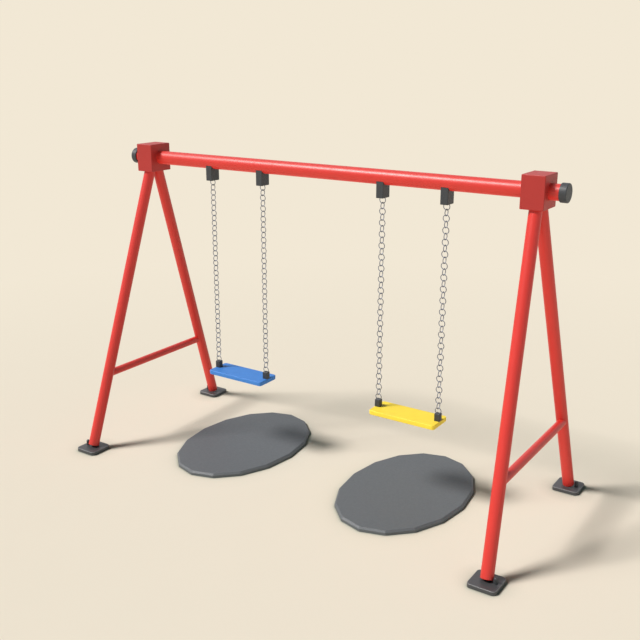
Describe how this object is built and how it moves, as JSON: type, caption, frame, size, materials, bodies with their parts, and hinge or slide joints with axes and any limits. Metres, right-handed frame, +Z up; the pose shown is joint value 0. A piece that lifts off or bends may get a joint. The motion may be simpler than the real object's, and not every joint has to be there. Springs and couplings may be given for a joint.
{
  "type": "double swing set",
  "caption": "Garden swing frame: a tubular crossbeam on braced A-frame legs with foot plates, flat seats hung side by side on ring chains, and a low oval ground mat under each seat.",
  "frame": {"origin": "on the ground, under the middle of the crossbeam, in the middle of the frame's footprint", "axes": "+X along the crossbeam from the blue swing to the yellow one, +Y level and across the beam, away from the side the picture shows, +Z up"},
  "size_m": [3.1606, 1.4698, 2.0924],
  "materials": {
    "red_paint": "smooth semi-gloss",
    "header_red": "satin",
    "black_plastic": "satin",
    "foot_rubber": "matt",
    "mat_rubber": "matt",
    "zinc_steel": "zinc plated",
    "blue_plastic": "semi-gloss",
    "yellow_plastic": "semi-gloss"
  },
  "bodies": {
    "frame": {"crossbeam": "red_paint", "end_cap_left": "black_plastic", "header_left": "header_red", "brace_left": "red_paint", "leg_front_left": "red_paint", "foot_plate_front_left": "foot_rubber", "ground_anchor_front_left": "black_plastic", "leg_rear_left": "red_paint", "foot_plate_rear_left": "foot_rubber", "ground_anchor_rear_left": "black_plastic", "end_cap_right": "black_plastic", "header_right": "header_red", "brace_right": "red_paint", "leg_front_right": "red_paint", "foot_plate_front_right": "foot_rubber", "ground_anchor_front_right": "black_plastic", "leg_rear_right": "red_paint", "foot_plate_rear_right": "foot_rubber", "ground_anchor_rear_right": "black_plastic", "ground_mat_blue": "mat_rubber", "hanger_blue_left": "black_plastic", "hanger_eye_blue_left": "zinc_steel", "beam_nut_blue_left": "zinc_steel", "hanger_blue_right": "black_plastic", "hanger_eye_blue_right": "zinc_steel", "beam_nut_blue_right": "zinc_steel", "ground_mat_yellow": "mat_rubber", "hanger_yellow_left": "black_plastic", "hanger_eye_yellow_left": "zinc_steel", "beam_nut_yellow_left": "zinc_steel", "hanger_yellow_right": "black_plastic", "hanger_eye_yellow_right": "zinc_steel", "beam_nut_yellow_right": "zinc_steel"},
    "top_link_blue_left": {"top_link_blue_left": "zinc_steel"},
    "chain_blue_left": {"chain_blue_left": "zinc_steel"},
    "bottom_link_blue_left": {"bottom_link_blue_left": "zinc_steel"},
    "top_link_blue_right": {"top_link_blue_right": "zinc_steel"},
    "chain_blue_right": {"chain_blue_right": "zinc_steel"},
    "bottom_link_blue_right": {"bottom_link_blue_right": "zinc_steel"},
    "swing_seat_blue": {"seat_blue": "blue_plastic", "seat_clamp_blue_left": "black_plastic", "seat_eye_blue_left": "zinc_steel", "seat_nut_blue_left": "zinc_steel", "seat_clamp_blue_right": "black_plastic", "seat_eye_blue_right": "zinc_steel", "seat_nut_blue_right": "zinc_steel"},
    "top_link_yellow_left": {"top_link_yellow_left": "zinc_steel"},
    "chain_yellow_left": {"chain_yellow_left": "zinc_steel"},
    "bottom_link_yellow_left": {"bottom_link_yellow_left": "zinc_steel"},
    "top_link_yellow_right": {"top_link_yellow_right": "zinc_steel"},
    "chain_yellow_right": {"chain_yellow_right": "zinc_steel"},
    "bottom_link_yellow_right": {"bottom_link_yellow_right": "zinc_steel"},
    "swing_seat_yellow": {"seat_yellow": "yellow_plastic", "seat_clamp_yellow_left": "black_plastic", "seat_eye_yellow_left": "zinc_steel", "seat_nut_yellow_left": "zinc_steel", "seat_clamp_yellow_right": "black_plastic", "seat_eye_yellow_right": "zinc_steel", "seat_nut_yellow_right": "zinc_steel"}
  },
  "joints": [
    {"name": "blue_swing", "type": "hinge", "parent": "frame", "child": "top_link_blue_left", "pos_m": [-0.8621, 0, 1.84498], "axis": [1, 0, 0], "range_deg": [-60, 60]},
    {"name": "blue_sway", "type": "hinge", "parent": "top_link_blue_left", "child": "chain_blue_left", "pos_m": [-0.8621, 0, 1.81103], "axis": [0, 1, 0], "range_deg": [-15, 15]},
    {"name": "blue_level", "type": "hinge", "parent": "chain_blue_left", "child": "bottom_link_blue_left", "pos_m": [-0.8621, 0, 0.67078], "axis": [0, 1, 0], "range_deg": [-15, 15]},
    {"name": "blue_tilt", "type": "hinge", "parent": "bottom_link_blue_left", "child": "swing_seat_blue", "pos_m": [-0.8621, 0, 0.63682], "axis": [1, 0, 0], "range_deg": [-40, 40]},
    {"name": "blue_swing_right", "type": "hinge", "parent": "frame", "child": "top_link_blue_right", "pos_m": [-0.4447, 0, 1.84498], "axis": [1, 0, 0], "range_deg": [-60, 60]},
    {"name": "blue_sway_right", "type": "hinge", "parent": "top_link_blue_right", "child": "chain_blue_right", "pos_m": [-0.4447, 0, 1.81103], "axis": [0, 1, 0], "range_deg": [-15, 15]},
    {"name": "blue_level_right", "type": "hinge", "parent": "chain_blue_right", "child": "bottom_link_blue_right", "pos_m": [-0.4447, 0, 0.67078], "axis": [0, 1, 0], "range_deg": [-15, 15]},
    {"name": "yellow_swing", "type": "hinge", "parent": "frame", "child": "top_link_yellow_left", "pos_m": [0.4447, 0, 1.84498], "axis": [1, 0, 0], "range_deg": [-60, 60]},
    {"name": "yellow_sway", "type": "hinge", "parent": "top_link_yellow_left", "child": "chain_yellow_left", "pos_m": [0.4447, 0, 1.81103], "axis": [0, 1, 0], "range_deg": [-15, 15]},
    {"name": "yellow_level", "type": "hinge", "parent": "chain_yellow_left", "child": "bottom_link_yellow_left", "pos_m": [0.4447, 0, 0.67078], "axis": [0, 1, 0], "range_deg": [-15, 15]},
    {"name": "yellow_tilt", "type": "hinge", "parent": "bottom_link_yellow_left", "child": "swing_seat_yellow", "pos_m": [0.4447, 0, 0.63682], "axis": [1, 0, 0], "range_deg": [-40, 40]},
    {"name": "yellow_swing_right", "type": "hinge", "parent": "frame", "child": "top_link_yellow_right", "pos_m": [0.8621, 0, 1.84498], "axis": [1, 0, 0], "range_deg": [-60, 60]},
    {"name": "yellow_sway_right", "type": "hinge", "parent": "top_link_yellow_right", "child": "chain_yellow_right", "pos_m": [0.8621, 0, 1.81103], "axis": [0, 1, 0], "range_deg": [-15, 15]},
    {"name": "yellow_level_right", "type": "hinge", "parent": "chain_yellow_right", "child": "bottom_link_yellow_right", "pos_m": [0.8621, 0, 0.67078], "axis": [0, 1, 0], "range_deg": [-15, 15]}
  ],
  "couplings": [
    {"joint": "blue_swing_right", "follows": "blue_swing", "ratio": 1},
    {"joint": "blue_sway_right", "follows": "blue_sway", "ratio": 1},
    {"joint": "blue_level_right", "follows": "blue_sway", "ratio": -1},
    {"joint": "blue_level", "follows": "blue_sway", "ratio": -1},
    {"joint": "yellow_swing_right", "follows": "yellow_swing", "ratio": 1},
    {"joint": "yellow_sway_right", "follows": "yellow_sway", "ratio": 1},
    {"joint": "yellow_level_right", "follows": "yellow_sway", "ratio": -1},
    {"joint": "yellow_level", "follows": "yellow_sway", "ratio": -1}
  ]
}
